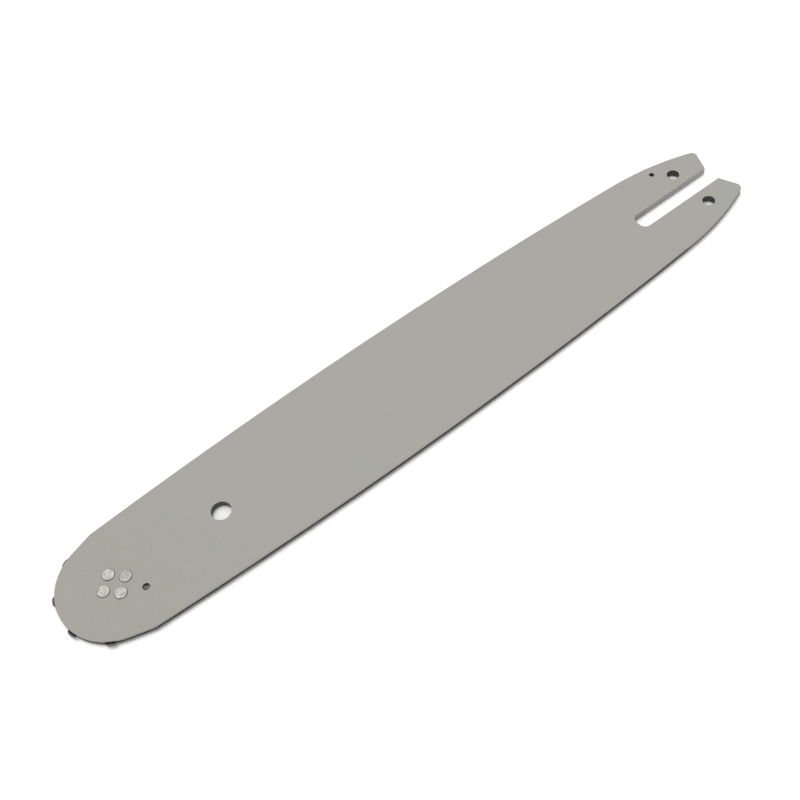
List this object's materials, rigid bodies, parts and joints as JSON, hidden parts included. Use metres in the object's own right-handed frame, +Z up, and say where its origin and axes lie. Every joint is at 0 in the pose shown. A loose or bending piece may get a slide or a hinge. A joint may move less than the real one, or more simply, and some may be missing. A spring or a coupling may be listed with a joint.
{
  "type": "chainsaw guide bar",
  "caption": "Flat laminated guide bar with a chain groove round its edge, a riveted sprocket nose on roller bearings, and a slotted tail for the saw's bar studs.",
  "frame": {"origin": "middle of the bar's length, on its centre line, at the surface that it lies on", "axes": "+X along the bar from nose to tail, +Y across it, +Z up out of the face that the picture shows"},
  "size_m": [0.3391, 0.0574, 0.0043],
  "materials": {
    "paint": "matte light grey paint",
    "core_steel": "bare mill steel",
    "sprocket_steel": "dark hardened steel",
    "bearing_steel": "ground steel",
    "rivet_steel": "bare peened steel"
  },
  "bodies": {
    "bar": {"upper_side_plate": "paint", "lower_side_plate": "paint", "core_plate": "core_steel", "bearing_hub": "bearing_steel", "nose_rivets": "rivet_steel"},
    "sprocket": {"nose_sprocket": "sprocket_steel"},
    "rollers": {"bearing_roller_01": "bearing_steel", "bearing_roller_02": "bearing_steel", "bearing_roller_03": "bearing_steel", "bearing_roller_04": "bearing_steel", "bearing_roller_05": "bearing_steel", "bearing_roller_06": "bearing_steel", "bearing_roller_07": "bearing_steel", "bearing_roller_08": "bearing_steel", "bearing_roller_09": "bearing_steel", "bearing_roller_10": "bearing_steel", "bearing_roller_11": "bearing_steel", "bearing_roller_12": "bearing_steel", "bearing_roller_13": "bearing_steel", "bearing_roller_14": "bearing_steel", "bearing_roller_15": "bearing_steel", "bearing_roller_16": "bearing_steel", "bearing_roller_17": "bearing_steel"}
  },
  "joints": [
    {"name": "sprocket_spin", "type": "hinge", "parent": "bar", "child": "sprocket", "pos_m": [-0.1462, 0, 0.00215], "axis": [0, 0, 1], "continuous": true},
    {"name": "roller_orbit", "type": "hinge", "parent": "bar", "child": "rollers", "pos_m": [-0.1462, 0, 0.00215], "axis": [0, 0, 1], "continuous": true}
  ],
  "couplings": [
    {"joint": "roller_orbit", "follows": "sprocket_spin", "ratio": 0.59158}
  ]
}
